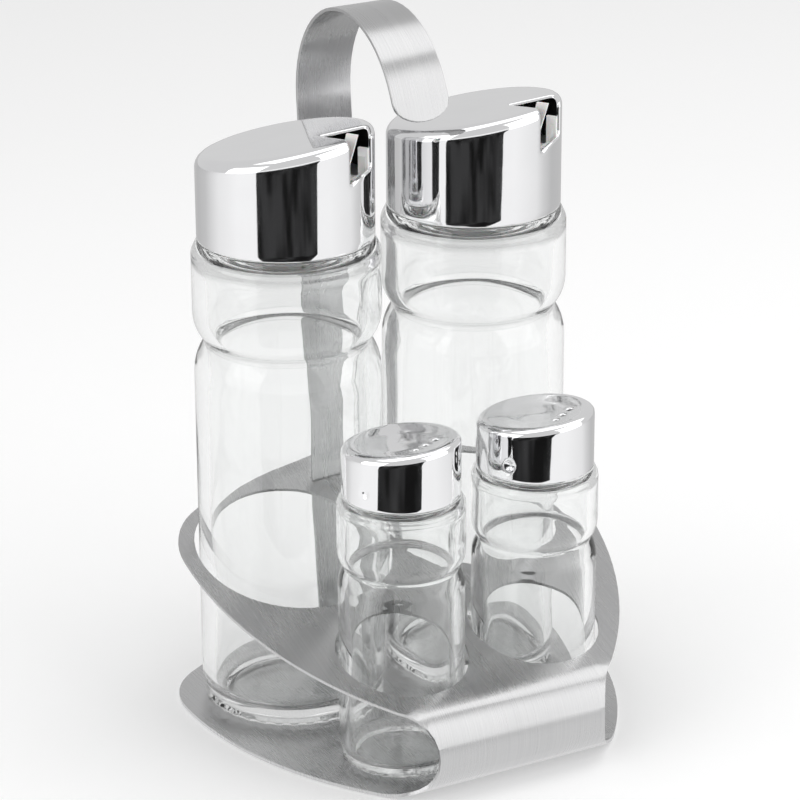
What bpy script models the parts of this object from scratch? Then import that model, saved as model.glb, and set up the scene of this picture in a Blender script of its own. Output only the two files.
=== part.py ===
"""Cruet set: two bottles and two shakers with screw caps in a bent sheet-steel stand with a strip handle."""

import math

import bmesh
import bpy
from mathutils import Matrix, Vector

for old in list(bpy.data.objects):
    bpy.data.objects.remove(old, do_unlink=True)

# Driving dimensions, in metres. +X is to the set's right, +Y to its back, +Z up.
BOTTLE_RADIUS = 0.0298
BOTTLE_SHOULDER = 0.160
SHAKER_RADIUS = 0.0199
SHAKER_SHOULDER = 0.0915
CONTAINER_GAP = 0.008
TOUCH_GAP = 0.0003
RUN_GAP = 0.0004

SHEET = 0.001
BASE_REACH = 0.0155
STAND_RIM = 0.0068
UPPER_TILT = math.radians(16.1)
UPPER_SHIFT = 0.005
ROLL_RADIUS = 0.0147
ROLL_SHOULDER_INSET = 0.0049
ROLL_WAIST_DEPTH = 0.0093
SHOULDER_AHEAD = 0.00466
REAR_DROP = 0.0271
REAR_CORNER = 0.027
HOLE_GAP = 0.0006

STRIP_WIDTH = 0.0194
STRIP_THICK = 0.0012
STRIP_LEAN = math.radians(4.3)
STRIP_BACK = 0.0051
LOOP_RADIUS = 0.0335
LOOP_ABOVE_CAP = 0.0325
LOOP_SWEEP = math.radians(154.5)
LOOP_TAIL = 0.0096
TIP_ROUND = 0.0065

BOTTLE_WALL = 0.0044
SHAKER_WALL = 0.0032
NECK_WALL = 0.0024
BOTTLE_NECK = 0.0176
BOTTLE_NECK_RISE = 0.0135
BOTTLE_WAIST_DEPTH = 0.0039
BOTTLE_WAIST_DROP = 0.0341
SHAKER_NECK_RISE = 0.0075
SHAKER_WAIST_DEPTH = 0.0022
SHAKER_WAIST_DROP = 0.0243
SHAKER_SCALE = 0.62

CAP_WALL = 0.0008
CAP_RIM_GAP = 0.0005
CAP_ROUND = 0.0035
BOTTLE_CAP_INSET = 0.0017
SHAKER_CAP_INSET = 0.0013
BOTTLE_CAP_HEIGHT = 0.0312
BOTTLE_CAP_SLOPE = math.tan(math.radians(11.3))
SHAKER_CAP_HEIGHT = 0.0174
SHAKER_CAP_SLOPE = math.tan(math.radians(7.0))
NOTCH_APEX = 0.012
NOTCH_HALF = 0.0075
NOTCH_DEPTH = 0.0133
NOTCH_MARGIN = 0.0012
POUR_TURN = math.radians(-56)
SHAKE_TURN_LEFT = math.radians(-65)
SHAKE_TURN_RIGHT = math.radians(-56)
DISH = 0.0011
HOLE_RADIUS = 0.00125
HOLE_REACH = 0.0096
HOLE_SPACING = 0.005

BOTTLE_SEAL_THICK = 0.0016
BOTTLE_SEAL_WIDTH = 0.004
SHAKER_SEAL_THICK = 0.001
SHAKER_SEAL_WIDTH = 0.0028
DECK_THICK = 0.002
POURER_WALL = 0.0022
TROUGH_WALL = 0.0015
TROUGH_START = 0.004
TROUGH_RISE = 0.0035
DRAIN_RADIUS = 0.0022
DRAIN_REACH = 0.0095
COLLAR_WALL = 0.0032
COLLAR_LIP = 0.002
COLLAR_TOP = 0.0012
COLLAR_LIFT = 0.001

# Positions that follow from the sizes above
BOTTLE_X = BOTTLE_RADIUS + CONTAINER_GAP / 2
SHAKER_X = SHAKER_RADIUS + CONTAINER_GAP / 2
REACH = BOTTLE_RADIUS + SHAKER_RADIUS + CONTAINER_GAP
SHAKER_Y = -math.sqrt(REACH**2 - (BOTTLE_X - SHAKER_X) ** 2)
ROLL_Y = SHAKER_Y - SHAKER_RADIUS - TOUCH_GAP
ROLL_TURN = math.pi - UPPER_TILT
ROLL_LENGTH = ROLL_RADIUS * ROLL_TURN
ROLL_SHOULDER = SHAKER_X + SHAKER_RADIUS - ROLL_SHOULDER_INSET
ROLL_WAIST = ROLL_SHOULDER - ROLL_WAIST_DEPTH
HALF_WIDTH = BOTTLE_X + BOTTLE_RADIUS + STAND_RIM
SHOULDER_IN = HALF_WIDTH - ROLL_SHOULDER
SIDE_RADIUS = ((SHOULDER_AHEAD - ROLL_Y) ** 2 + SHOULDER_IN**2) / (2 * SHOULDER_IN)
REAR_RADIUS = (HALF_WIDTH**2 + REAR_DROP**2) / (2 * REAR_DROP)

collection = bpy.data.collections.new("Cruet set")
bpy.context.scene.collection.children.link(collection)
helpers = bpy.data.collections.new("Cutters")
helpers.hide_render = True
bpy.context.scene.collection.children.link(helpers)


def material(name, color, roughness, metallic=0.0, alpha=1.0):
    made = bpy.data.materials.new(name)
    made.use_nodes = True
    shader = made.node_tree.nodes["Principled BSDF"]
    shader.inputs["Base Color"].default_value = (*color, 1.0)
    shader.inputs["Roughness"].default_value = roughness
    shader.inputs["Metallic"].default_value = metallic
    shader.inputs["Alpha"].default_value = alpha
    made.diffuse_color = (*color, alpha)
    return made


BRUSHED = material("brushed steel", (0.55, 0.55, 0.56), 0.35, 1.0)
CHROME = material("chrome", (0.8, 0.8, 0.82), 0.06, 1.0)
GLASS = material("clear glass", (0.86, 0.9, 0.9), 0.02, 0.0, 0.35)
WHITE = material("white plastic", (0.85, 0.85, 0.84), 0.4)
SEAL = material("seal", (0.7, 0.7, 0.7), 0.6)


def add(name, mesh, look, location=(0, 0, 0), where=None):
    """A mesh as a named object in the set's collection."""
    obj = bpy.data.objects.new(name, mesh)
    obj.location = location
    if look:
        mesh.materials.clear()
        mesh.materials.append(look)
    (where or collection).objects.link(obj)
    return obj


def rounded(points):
    """Corner points (x, z, radius) as a line whose corners are arcs."""
    line = []
    for i, (x, z, radius) in enumerate(points):
        here = Vector((x, z))
        if radius <= 0 or i in (0, len(points) - 1):
            line.append(here)
            continue
        before = (Vector(points[i - 1][:2]) - here).normalized()
        after = (Vector(points[i + 1][:2]) - here).normalized()
        half = before.angle(after) / 2
        centre = here + (before + after).normalized() * radius / math.sin(half)
        start = here + before * radius / math.tan(half) - centre
        turn = start.angle_signed(here + after * radius / math.tan(half) - centre)
        count = max(round(abs(turn) / math.radians(34)), round(radius * abs(turn) / 0.0042), 1)
        for k in range(count + 1):
            line.append(centre + Matrix.Rotation(-turn * k / count, 2) @ start)
    return line


def turned(name, points, look, steps, location=(0, 0, 0)):
    """A profile of corners (x, z, radius), turned about Z. It runs down the outer side."""
    mesh = bpy.data.meshes.new(name)
    line = [(p.x, 0, p.y) for p in rounded(points)]
    mesh.from_pydata(line, [(i, i + 1) for i in range(len(line) - 1)], [])
    if points[0][0] > 0:
        mesh.clear_geometry()
        mesh.from_pydata(line, [(i, (i + 1) % len(line)) for i in range(len(line))], [])
    obj = add(name, mesh, look, location)
    screw = obj.modifiers.new("Turn", "SCREW")
    screw.steps = steps
    screw.render_steps = steps
    screw.use_merge_vertices = True
    screw.merge_threshold = 1e-5
    screw.use_smooth_shade = True
    return obj


def apply_modifiers(obj):
    bpy.context.view_layer.update()
    graph = bpy.context.evaluated_depsgraph_get()
    mesh = bpy.data.meshes.new_from_object(obj.evaluated_get(graph))
    obj.modifiers.clear()
    obj.data = mesh
    return obj


def prism(name, outline, bottom, top):
    """A closed prism over an outline of (x, y) points listed anticlockwise."""
    count = len(outline)
    points = [(x, y, z) for z in (bottom, top) for x, y in outline]
    faces = [tuple(reversed(range(count))), tuple(range(count, 2 * count))]
    faces += [(i, (i + 1) % count, (i + 1) % count + count, i + count) for i in range(count)]
    mesh = bpy.data.meshes.new(name)
    mesh.from_pydata(points, [], faces)
    obj = add(name, mesh, None, where=helpers)
    obj.hide_render = True
    obj.display_type = "WIRE"
    return obj


def cylinder(name, radius, bottom, top, x=0.0, y=0.0, steps=24):
    ring = [
        (x + radius * math.cos(2 * math.pi * i / steps), y + radius * math.sin(2 * math.pi * i / steps))
        for i in range(steps)
    ]
    return prism(name, ring, bottom, top)


def cut(obj, cutter, operation="DIFFERENCE"):
    boolean = obj.modifiers.new(cutter.name, "BOOLEAN")
    boolean.operation = operation
    boolean.solver = "EXACT"
    boolean.object = cutter
    return apply_modifiers(obj)


def bent(name, loops, bends, place, thick, look):
    """A flat blank inside loops of (x, run), bent where place() bends it and given its thickness."""
    flat = bmesh.new()
    for loop in loops:
        corners = [flat.verts.new((x, run, 0)) for x, run in loop]
        for i, corner in enumerate(corners):
            flat.edges.new((corner, corners[(i + 1) % len(corners)]))
    bmesh.ops.triangle_fill(flat, use_beauty=True, edges=flat.edges[:], normal=(0, 0, 1))
    for run in bends:
        geometry = flat.verts[:] + flat.edges[:] + flat.faces[:]
        bmesh.ops.bisect_plane(flat, geom=geometry, dist=1e-6, plane_co=(0, run, 0), plane_no=(0, 1, 0))
    for corner in flat.verts:
        y, z = place(corner.co.y)
        corner.co = (corner.co.x, y, z)
    bmesh.ops.recalc_face_normals(flat, faces=flat.faces[:])
    mesh = bpy.data.meshes.new(name)
    flat.to_mesh(mesh)
    flat.free()
    obj = add(name, mesh, look)
    solid = obj.modifiers.new("Thickness", "SOLIDIFY")
    solid.thickness = thick
    solid.offset = 0
    solid.use_even_offset = True
    return apply_modifiers(obj)


# Stand: one sheet. Its run is measured along the sheet, from 0 where the flat base meets the roll, and is
# negative over the base.
def stand_place(run):
    if run <= 0:
        return ROLL_Y - run, SHEET / 2
    turn = min(run / ROLL_RADIUS, ROLL_TURN)
    y = ROLL_Y - ROLL_RADIUS * math.sin(turn)
    z = SHEET / 2 + ROLL_RADIUS * (1 - math.cos(turn))
    more = max(0.0, run - ROLL_LENGTH)
    return y + more * math.cos(UPPER_TILT), z + more * math.sin(UPPER_TILT)


def shield_half():
    """Right half of a plate's outline as (x, depth behind the roll), from roll to middle of back."""
    widest = -ROLL_Y
    side = Vector((HALF_WIDTH - SIDE_RADIUS, widest))
    back = Vector((0, widest + BOTTLE_RADIUS + BASE_REACH - REAR_RADIUS))
    reach_side = SIDE_RADIUS - REAR_CORNER
    reach_back = REAR_RADIUS - REAR_CORNER
    apart = (back - side).length
    along = (reach_side**2 - reach_back**2 + apart**2) / (2 * apart)
    across = math.sqrt(reach_side**2 - along**2)
    unit = (back - side).normalized()
    corner = side + unit * along + Vector((-unit.y, unit.x)) * across
    start = math.acos((ROLL_SHOULDER - side.x) / SIDE_RADIUS)
    meet = math.atan2(corner.y - side.y, corner.x - side.x)
    leave = math.atan2(corner.y - back.y, corner.x)
    line = []
    for k in range(17):
        angle = -start + (start + meet) * k / 16
        line.append((side.x + SIDE_RADIUS * math.cos(angle), side.y + SIDE_RADIUS * math.sin(angle)))
    for k in range(1, 9):
        angle = meet + (leave - meet) * k / 8
        line.append((corner.x + REAR_CORNER * math.cos(angle), corner.y + REAR_CORNER * math.sin(angle)))
    for k in range(1, 9):
        angle = leave + (math.pi / 2 - leave) * k / 8
        line.append((REAR_RADIUS * math.cos(angle), back.y + REAR_RADIUS * math.sin(angle)))
    return line


half = shield_half()
shoulder_run = -half[0][1]
upper_shoulder = ROLL_LENGTH + half[0][1] + UPPER_SHIFT
waist_run = (shoulder_run + upper_shoulder) / 2
scallop_half = (upper_shoulder - shoulder_run) / 2
scallop_deep = ROLL_SHOULDER - ROLL_WAIST
scallop_radius = (scallop_half**2 + scallop_deep**2) / (2 * scallop_deep)
scallop = []
for k in range(1, 12):
    lean = math.asin(scallop_half / scallop_radius) * (1 - k / 6)
    across = ROLL_WAIST + scallop_radius * (1 - math.cos(lean))
    scallop.append((across, waist_run - scallop_radius * math.sin(lean)))
base_right = [(x, -depth) for x, depth in reversed(half)]
upper_right = [(x, ROLL_LENGTH + UPPER_SHIFT + depth) for x, depth in half]
right = base_right + scallop + upper_right
left = [(-x, run) for x, run in reversed(right) if x > 1e-6]
outline = right + left


def upper_run(y):
    """Run along the upper plate whose middle stands at depth y."""
    top_y = ROLL_Y - ROLL_RADIUS * math.sin(ROLL_TURN)
    return ROLL_LENGTH + (y - top_y) / math.cos(UPPER_TILT)


def hole(x, y, radius, steps):
    radius = (radius + HOLE_GAP) / math.cos(UPPER_TILT)
    middle = upper_run(y)
    return [
        (x + radius * math.cos(2 * math.pi * i / steps), middle + radius * math.sin(2 * math.pi * i / steps))
        for i in range(steps)
    ]


# Handle: its path runs from its foot straight up the leaning leg, round the loop and down its tail.
loop_height = BOTTLE_SHOULDER + LOOP_ABOVE_CAP + SHEET
foot_z = SHEET + TOUCH_GAP
leg_length = (loop_height - LOOP_RADIUS * math.sin(STRIP_LEAN) - foot_z) / math.cos(STRIP_LEAN)
loop_y = BOTTLE_RADIUS - STRIP_BACK + leg_length * math.sin(STRIP_LEAN) - LOOP_RADIUS * math.cos(STRIP_LEAN)
loop_length = LOOP_RADIUS * (LOOP_SWEEP + STRIP_LEAN)
strip_length = leg_length + loop_length + LOOP_TAIL


def strip_place(run):
    if run <= leg_length:
        return BOTTLE_RADIUS - STRIP_BACK + run * math.sin(STRIP_LEAN), foot_z + run * math.cos(STRIP_LEAN)
    angle = min((run - leg_length) / LOOP_RADIUS - STRIP_LEAN, LOOP_SWEEP)
    more = max(0.0, run - leg_length - loop_length)
    y = loop_y + LOOP_RADIUS * math.cos(angle) - more * math.sin(angle)
    return y, loop_height + LOOP_RADIUS * math.sin(angle) + more * math.cos(angle)


top_y, top_z = stand_place(ROLL_LENGTH)
foot_y = strip_place(0)[0]
rise = (top_z - foot_z + (foot_y - top_y) * math.tan(UPPER_TILT)) / (
    math.cos(STRIP_LEAN) - math.sin(STRIP_LEAN) * math.tan(UPPER_TILT)
)
slot_run = upper_run(strip_place(rise)[0])
slot_x = STRIP_WIDTH / 2 + RUN_GAP
slot_deep = STRIP_THICK / 2 + RUN_GAP + SHEET / 2
slot_front = slot_run - slot_deep
slot_back = slot_run + slot_deep
slot = [(-slot_x, slot_front), (slot_x, slot_front), (slot_x, slot_back), (-slot_x, slot_back)]

loops = [outline, slot]
loops += [hole(side * BOTTLE_X, 0, BOTTLE_RADIUS, 48) for side in (-1, 1)]
loops += [hole(side * SHAKER_X, SHAKER_Y, SHAKER_RADIUS, 36) for side in (-1, 1)]
roll_bends = [ROLL_LENGTH * k / 20 for k in range(21)]
bent("stand_sheet", loops, roll_bends, stand_place, SHEET, BRUSHED)

half_width = STRIP_WIDTH / 2
strip_outline = [(half_width, 0)]
for k in range(13):
    angle = math.pi * k / 12
    run = strip_length - TIP_ROUND + TIP_ROUND * math.sin(angle)
    strip_outline.append((half_width * math.cos(angle), run))
strip_outline.append((-half_width, 0))
strip_bends = [leg_length + loop_length * k / 24 for k in range(25)]
bent("handle_strip", [strip_outline], strip_bends, strip_place, STRIP_THICK, BRUSHED)


# Bottles: thick-based clear glass with a waist below the upper bulge, and a plain neck inside the cap.
def glass_profile(radius, wall, shoulder, neck, neck_top, waist, waist_drop, scale):
    """Inside from the middle up, over the lip, then down the outside. The scale sizes its rounds."""
    waist_z = shoulder - waist_drop
    over = 0.0048 * scale
    under = 0.0057 * scale
    return [
        (0, 0.0046 * scale, 0),
        (radius - wall, 0.0054 * scale, 0.004 * scale),
        (radius - wall, waist_z - under, 0.014 * scale),
        (waist - wall, waist_z, 0.003 * scale),
        (radius - wall, waist_z + over, 0.010 * scale),
        (radius - wall, shoulder - 0.0035 * scale - wall / 2, 0.005 * scale),
        (neck - NECK_WALL, shoulder - wall, 0.0015 * scale),
        (neck - NECK_WALL, neck_top, 0),
        (neck, neck_top, 0),
        (neck, shoulder, 0),
        (radius - 0.0022 * scale, shoulder, 0.001 * scale),
        (radius + 0.0002, shoulder - 0.0050 * scale, 0.0035 * scale),
        (radius + 0.0002, waist_z + over, 0.015 * scale),
        (waist, waist_z, 0.0008 * scale),
        (radius, waist_z - under, 0.019 * scale),
        (radius, 0, 0.0035 * scale),
        (radius - 0.0080 * scale, 0, 0),
        (radius - 0.0110 * scale, 0.0012 * scale, 0),
        (0, 0.0016 * scale, 0),
    ]


def slanted(obj, above, slope, turn):
    """Shears what stands above a level so that the top slopes up towards turn."""
    for vertex in obj.data.vertices:
        if vertex.co.z > above:
            vertex.co.z += slope * (vertex.co.x * math.cos(turn) + vertex.co.y * math.sin(turn))
    return obj


def along(outline, turn):
    """Plan points (out, across) swung round to face turn."""
    c, s = math.cos(turn), math.sin(turn)
    return [(out * c - across * s, out * s + across * c) for out, across in outline]


BOTTLE_NECK_TOP = BOTTLE_SHOULDER + BOTTLE_NECK_RISE
BOTTLE_WAIST = BOTTLE_RADIUS - BOTTLE_WAIST_DEPTH
BOTTLE_RIM = BOTTLE_SHOULDER + CAP_RIM_GAP
BOTTLE_CAP_RADIUS = BOTTLE_RADIUS - BOTTLE_CAP_INSET
NOTCH_FLOOR = BOTTLE_RIM + BOTTLE_CAP_HEIGHT + BOTTLE_CAP_RADIUS * BOTTLE_CAP_SLOPE - NOTCH_DEPTH
DECK = BOTTLE_NECK_TOP + BOTTLE_SEAL_THICK + 2 * TOUCH_GAP
LIFT = SHEET + TOUCH_GAP

for name, x in (("bottle_left", -BOTTLE_X), ("bottle_right", BOTTLE_X)):
    turned(
        f"{name}_glass",
        glass_profile(
            BOTTLE_RADIUS,
            BOTTLE_WALL,
            BOTTLE_SHOULDER - LIFT,
            BOTTLE_NECK,
            BOTTLE_NECK_TOP - LIFT,
            BOTTLE_WAIST,
            BOTTLE_WAIST_DROP,
            1.0,
        ),
        GLASS,
        32,
        (x, 0, LIFT),
    )
    # Gasket: a flat ring lying on the neck's lip.
    ring_low = BOTTLE_NECK_TOP + TOUCH_GAP
    turned(
        f"{name}_seal",
        [
            (BOTTLE_NECK, ring_low + BOTTLE_SEAL_THICK, 0),
            (BOTTLE_NECK, ring_low, 0),
            (BOTTLE_NECK - BOTTLE_SEAL_WIDTH, ring_low, 0),
            (BOTTLE_NECK - BOTTLE_SEAL_WIDTH, ring_low + BOTTLE_SEAL_THICK, 0),
        ],
        SEAL,
        24,
        (x, 0, 0),
    )
    # Cap: a pressed shell, its top sheared to a slope and cut by the pouring notch.
    top = BOTTLE_RIM + BOTTLE_CAP_HEIGHT
    r = BOTTLE_CAP_RADIUS
    shell = turned(
        f"{name}_cap_shell",
        [
            (0, top, 0),
            (r, top, CAP_ROUND),
            (r, BOTTLE_RIM, 0),
            (r - CAP_WALL, BOTTLE_RIM, 0),
            (r - CAP_WALL, top - CAP_WALL, CAP_ROUND - CAP_WALL),
            (0, top - CAP_WALL, 0),
        ],
        CHROME,
        40,
        (x, 0, 0),
    )
    slanted(apply_modifiers(shell), BOTTLE_RIM + 0.001, BOTTLE_CAP_SLOPE, POUR_TURN)
    notch = prism(
        f"{name}_notch",
        along(
            [
                (NOTCH_APEX, 0),
                (r - 0.001, -NOTCH_HALF),
                (r + 0.01, -NOTCH_HALF),
                (r + 0.01, NOTCH_HALF),
                (r - 0.001, NOTCH_HALF),
            ],
            POUR_TURN,
        ),
        NOTCH_FLOOR,
        top + 0.02,
    )
    notch.location = shell.location
    cut(shell, notch)
    # Pourer: a collar round the neck under a deck that fills the shell, with a spout trough to the notch.
    deck_r = r - CAP_WALL - TOUCH_GAP
    bore = BOTTLE_NECK + RUN_GAP
    pourer = turned(
        f"{name}_pourer",
        [
            (0, DECK + DECK_THICK, 0),
            (deck_r, DECK + DECK_THICK, 0),
            (deck_r, DECK, 0),
            (bore + POURER_WALL, DECK, 0),
            (bore + POURER_WALL, BOTTLE_SHOULDER + COLLAR_LIFT, 0),
            (bore, BOTTLE_SHOULDER + COLLAR_LIFT, 0),
            (bore, DECK, 0),
            (0, DECK, 0),
        ],
        WHITE,
        32,
        (x, 0, 0),
    )
    apply_modifiers(pourer)
    side = NOTCH_HALF - NOTCH_MARGIN
    end = deck_r - NOTCH_MARGIN
    block = prism(
        f"{name}_trough",
        along([(TROUGH_START, -side), (end, -side), (end, side), (TROUGH_START, side)], POUR_TURN),
        DECK + DECK_THICK / 2,
        NOTCH_FLOOR + TROUGH_RISE,
    )
    block.location = pourer.location
    cut(pourer, block, "UNION")
    back = TROUGH_START + TROUGH_WALL
    side -= TROUGH_WALL
    past = end + 0.01
    groove = prism(
        f"{name}_groove",
        along([(back, -side), (past, -side), (past, side), (back, side)], POUR_TURN),
        NOTCH_FLOOR - TROUGH_WALL / 2,
        NOTCH_FLOOR + 0.01,
    )
    groove.location = pourer.location
    cut(pourer, groove)
    (hole_x, hole_y), = along([(DRAIN_REACH, 0)], POUR_TURN)
    drain = cylinder(
        f"{name}_drain", DRAIN_RADIUS, DECK - 0.004, NOTCH_FLOOR + 0.004, hole_x, hole_y, 16
    )
    drain.location = pourer.location
    cut(pourer, drain)

# Shakers: the same glass and cap at a smaller size, the cap's top dished and pierced by three holes.
SHAKER_RIM = SHAKER_SHOULDER + CAP_RIM_GAP
SHAKER_CAP_RADIUS = SHAKER_RADIUS - SHAKER_CAP_INSET
COLLAR_RADIUS = SHAKER_CAP_RADIUS - CAP_WALL - TOUCH_GAP
COLLAR_BORE = COLLAR_RADIUS - COLLAR_WALL
SHAKER_NECK = COLLAR_BORE - RUN_GAP
SHAKER_NECK_TOP = SHAKER_SHOULDER + SHAKER_NECK_RISE
SHAKER_WAIST = SHAKER_RADIUS - SHAKER_WAIST_DEPTH

for name, x, turn in (
    ("shaker_left", -SHAKER_X, SHAKE_TURN_LEFT),
    ("shaker_right", SHAKER_X, SHAKE_TURN_RIGHT),
):
    turned(
        f"{name}_glass",
        glass_profile(
            SHAKER_RADIUS,
            SHAKER_WALL,
            SHAKER_SHOULDER - LIFT,
            SHAKER_NECK,
            SHAKER_NECK_TOP - LIFT,
            SHAKER_WAIST,
            SHAKER_WAIST_DROP,
            SHAKER_SCALE,
        ),
        GLASS,
        28,
        (x, SHAKER_Y, LIFT),
    )
    ring_low = SHAKER_NECK_TOP + TOUCH_GAP
    turned(
        f"{name}_seal",
        [
            (SHAKER_NECK, ring_low + SHAKER_SEAL_THICK, 0),
            (SHAKER_NECK, ring_low, 0),
            (SHAKER_NECK - SHAKER_SEAL_WIDTH, ring_low, 0),
            (SHAKER_NECK - SHAKER_SEAL_WIDTH, ring_low + SHAKER_SEAL_THICK, 0),
        ],
        SEAL,
        24,
        (x, SHAKER_Y, 0),
    )
    r = SHAKER_CAP_RADIUS
    top = SHAKER_RIM + SHAKER_CAP_HEIGHT
    shell = turned(
        f"{name}_cap_shell",
        [
            (0, top - DISH, 0),
            (r * 0.55, top - DISH * 0.7, 0),
            (r - 0.0022, top, 0.003),
            (r, top - 0.0008, 0.0014),
            (r, SHAKER_RIM, 0),
            (r - CAP_WALL, SHAKER_RIM, 0),
            (r - CAP_WALL, top - 0.0008 - CAP_WALL, 0),
            (r * 0.55, top - DISH * 0.7 - CAP_WALL, 0),
            (0, top - DISH - CAP_WALL, 0),
        ],
        CHROME,
        32,
        (x, SHAKER_Y, 0),
    )
    slanted(apply_modifiers(shell), SHAKER_RIM + 0.001, SHAKER_CAP_SLOPE, turn)
    for k, across in enumerate((-HOLE_SPACING, 0, HOLE_SPACING)):
        (hole_x, hole_y), = along([(HOLE_REACH, across)], turn)
        drill = cylinder(f"{name}_drill_{k}", HOLE_RADIUS, top - 0.008, top + 0.01, hole_x, hole_y, 14)
        drill.location = shell.location
        cut(shell, drill)
    # Collar: the threaded plastic ring pressed into the cap, open in the middle for the holes.
    lip_low = ring_low + SHAKER_SEAL_THICK + TOUCH_GAP
    turned(
        f"{name}_collar",
        [
            (COLLAR_RADIUS, lip_low + COLLAR_TOP, 0),
            (COLLAR_RADIUS, SHAKER_SHOULDER + COLLAR_LIFT, 0),
            (COLLAR_BORE, SHAKER_SHOULDER + COLLAR_LIFT, 0),
            (COLLAR_BORE, lip_low, 0),
            (SHAKER_NECK - COLLAR_LIP, lip_low, 0),
            (SHAKER_NECK - COLLAR_LIP, lip_low + COLLAR_TOP, 0),
        ],
        WHITE,
        32,
        (x, SHAKER_Y, 0),
    )
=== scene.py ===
import math

import bmesh
import bpy
import numpy as np
from mathutils import Matrix, Quaternion, Vector
from mathutils.geometry import delaunay_2d_cdt


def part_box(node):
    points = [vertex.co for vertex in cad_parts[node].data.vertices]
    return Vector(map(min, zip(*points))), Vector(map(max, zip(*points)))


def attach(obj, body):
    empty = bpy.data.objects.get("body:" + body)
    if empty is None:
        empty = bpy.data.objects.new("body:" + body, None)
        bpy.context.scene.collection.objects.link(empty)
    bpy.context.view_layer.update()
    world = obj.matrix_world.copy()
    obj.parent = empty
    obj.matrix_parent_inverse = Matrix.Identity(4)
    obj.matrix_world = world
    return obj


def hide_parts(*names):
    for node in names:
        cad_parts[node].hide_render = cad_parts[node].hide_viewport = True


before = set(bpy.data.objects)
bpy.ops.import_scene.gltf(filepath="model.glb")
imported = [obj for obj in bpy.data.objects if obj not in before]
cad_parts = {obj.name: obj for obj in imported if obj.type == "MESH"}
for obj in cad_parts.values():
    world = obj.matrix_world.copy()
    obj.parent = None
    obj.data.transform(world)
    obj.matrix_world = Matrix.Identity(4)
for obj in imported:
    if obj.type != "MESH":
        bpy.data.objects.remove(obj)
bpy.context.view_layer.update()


# Stand. One stainless sheet a millimetre thick, with a flat base, a roll at the front and a tilted upper
# plate with four holes. It is cut flat, linished from front to back and bent; its cut edges are tumbled.
EDGE_BREAK = 0.00022
FINE_GRAIN = (7000.0, 60.0, 60.0)
LONG_GRAIN = (1500.0, 12.0, 12.0)
STEEL_DARK = (0.515, 0.515, 0.52)
STEEL_LIGHT = (0.59, 0.59, 0.592)


def new_material(name):
    made = bpy.data.materials.new(name)
    made.use_nodes = True
    return made, made.node_tree, made.node_tree.nodes["Principled BSDF"]


def noise(tree, scale, detail=2.0, stretch=(1.0, 1.0, 1.0)):
    """Noise from 0 to 1 over the piece's own coordinates, which are in metres."""
    coordinates = tree.nodes.new("ShaderNodeTexCoord")
    mapping = tree.nodes.new("ShaderNodeMapping")
    mapping.inputs["Scale"].default_value = stretch
    texture = tree.nodes.new("ShaderNodeTexNoise")
    texture.inputs["Scale"].default_value = scale
    texture.inputs["Detail"].default_value = detail
    tree.links.new(coordinates.outputs["Object"], mapping.inputs["Vector"])
    tree.links.new(mapping.outputs["Vector"], texture.inputs["Vector"])
    return texture.outputs["Fac"]


def ranged(tree, value, low, high, start=0.3, end=0.7):
    """The value's stretch from start to end, spread over low to high."""
    node = tree.nodes.new("ShaderNodeMapRange")
    node.inputs["From Min"].default_value = start
    node.inputs["From Max"].default_value = end
    node.inputs["To Min"].default_value = low
    node.inputs["To Max"].default_value = high
    tree.links.new(value, node.inputs["Value"])
    return node.outputs["Result"]


def added(tree, first, second):
    node = tree.nodes.new("ShaderNodeMath")
    node.operation = "ADD"
    tree.links.new(first, node.inputs[0])
    tree.links.new(second, node.inputs[1])
    return node.outputs["Value"]


def blended(tree, factor, first, second):
    node = tree.nodes.new("ShaderNodeMix")
    node.data_type = "RGBA"
    node.inputs["A"].default_value = first
    node.inputs["B"].default_value = second
    tree.links.new(factor, node.inputs["Factor"])
    return node.outputs["Result"]


def tinted(tree, shader, factor, first, second, socket="Base Color"):
    """Runs a shader's colour from first to second, both red, green, blue, as the factor rises."""
    tree.links.new(blended(tree, factor, (*first, 1.0), (*second, 1.0)), shader.inputs[socket])


def bump(tree, shader, height, distance, strength=1.0):
    node = tree.nodes.new("ShaderNodeBump")
    node.inputs["Distance"].default_value = distance
    node.inputs["Strength"].default_value = strength
    tree.links.new(height, node.inputs["Height"])
    tree.links.new(node.outputs["Normal"], shader.inputs["Normal"])


def brushed_steel():
    """Satin steel whose grain runs front to back, so that it spreads light from side to side."""
    made, tree, shader = new_material("satin_brushed_steel")
    fine = noise(tree, 1.0, 2.0, FINE_GRAIN)
    long = noise(tree, 1.0, 2.0, LONG_GRAIN)
    cloud = noise(tree, 38.0, 3.0)
    grain = added(tree, ranged(tree, fine, 0.0, 0.5), ranged(tree, long, 0.0, 0.5))
    tinted(tree, shader, grain, STEEL_DARK, STEEL_LIGHT)
    rough = added(tree, ranged(tree, grain, -0.02, 0.02, 0.0, 1.0), ranged(tree, cloud, 0.25, 0.30))
    tree.links.new(rough, shader.inputs["Roughness"])
    bump(tree, shader, grain, 0.0000008)
    across = tree.nodes.new("ShaderNodeCombineXYZ")
    across.inputs["X"].default_value = 1.0
    tree.links.new(across.outputs["Vector"], shader.inputs["Tangent"])
    shader.inputs["Metallic"].default_value = 1.0
    shader.inputs["Anisotropic"].default_value = 0.85
    return made


def ride_as(piece, body, slot, *nodes):
    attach(piece, body)
    if nodes:
        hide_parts(*nodes)
    return piece


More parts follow.
